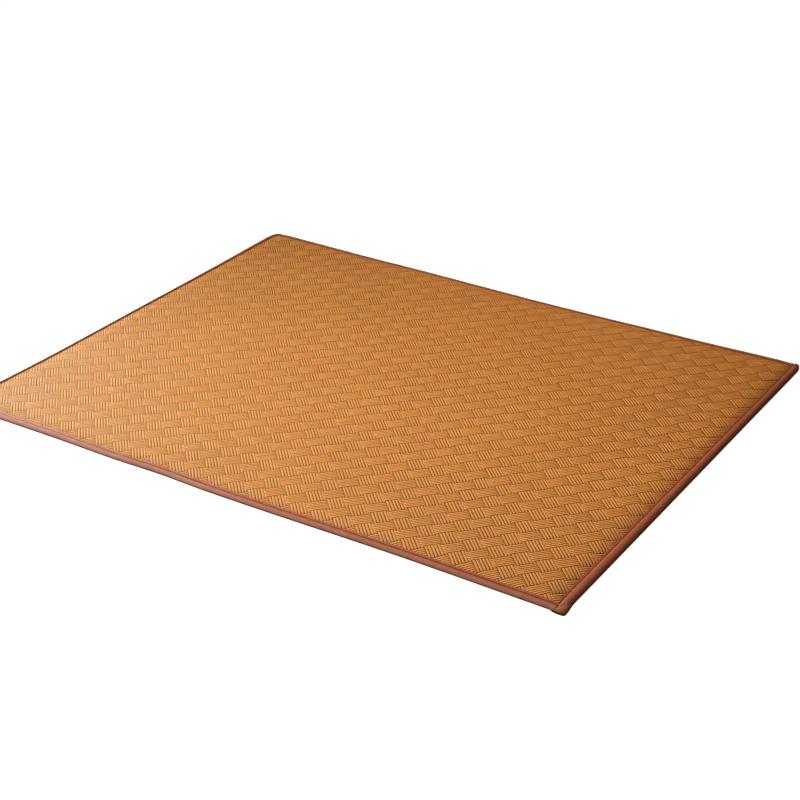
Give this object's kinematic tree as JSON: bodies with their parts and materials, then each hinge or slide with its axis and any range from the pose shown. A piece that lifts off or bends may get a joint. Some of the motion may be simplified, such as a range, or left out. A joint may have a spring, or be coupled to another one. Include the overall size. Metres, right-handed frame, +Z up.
{
  "type": "rattan sleeping mat",
  "caption": "Flat rectangular sleeping mat of rattan plaited in a diagonal basket weave, with folded cloth tape sewn round its edges.",
  "frame": {"origin": "under the middle of the mat, on the surface that it lies on", "axes": "+X along the long sides, +Y along the short sides towards the back, +Z up"},
  "size_m": [2.0102, 1.5231, 0.015],
  "materials": {
    "woven_rattan": "split rattan strands with a soft sheen, plaited in blocks of five at 45 degrees to the sides",
    "binding_cloth": "closely woven terracotta tape with a slight sheen, sewn through along its inner edge"
  },
  "bodies": {
    "root": {"mat_body": "woven_rattan", "binding_front": "binding_cloth", "binding_back": "binding_cloth", "binding_left": "binding_cloth", "binding_right": "binding_cloth"}
  },
  "joints": []
}
